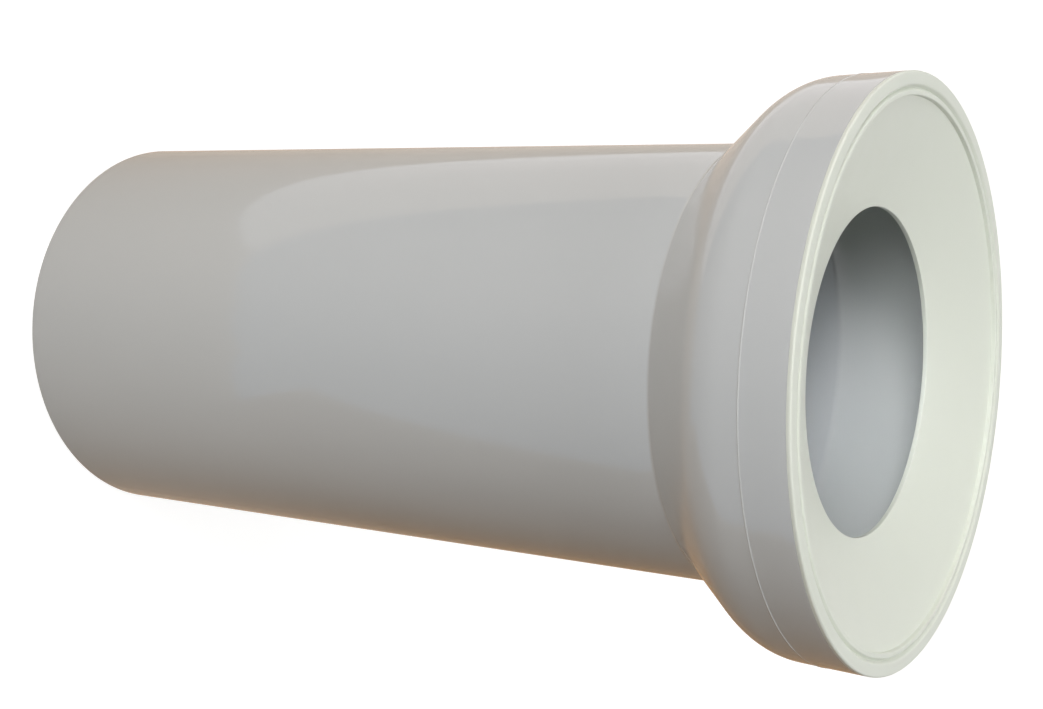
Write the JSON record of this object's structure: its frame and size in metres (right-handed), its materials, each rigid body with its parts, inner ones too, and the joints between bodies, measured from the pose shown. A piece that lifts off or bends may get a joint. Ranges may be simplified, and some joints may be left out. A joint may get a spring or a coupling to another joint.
{
  "type": "toilet pan connector",
  "caption": "Straight rigid toilet pan connector: a plain soil-pipe spigot that flares to a round socket, closed by a soft funnel seal with a central hole.",
  "frame": {"origin": "centre of the plain spigot end, which the connector stands on", "axes": "+Z along the waterway from the spigot end to the socket's mouth; the part is round about +Z"},
  "size_m": [0.1424, 0.1424, 0.2455],
  "materials": {
    "body_plastic": "moulded light grey-white plastic with a satin gloss",
    "seal_elastomer": "moulded soft cream-white elastomer, satin"
  },
  "bodies": {
    "root": {"connector_body": "body_plastic", "pan_seal": "seal_elastomer"}
  },
  "joints": []
}
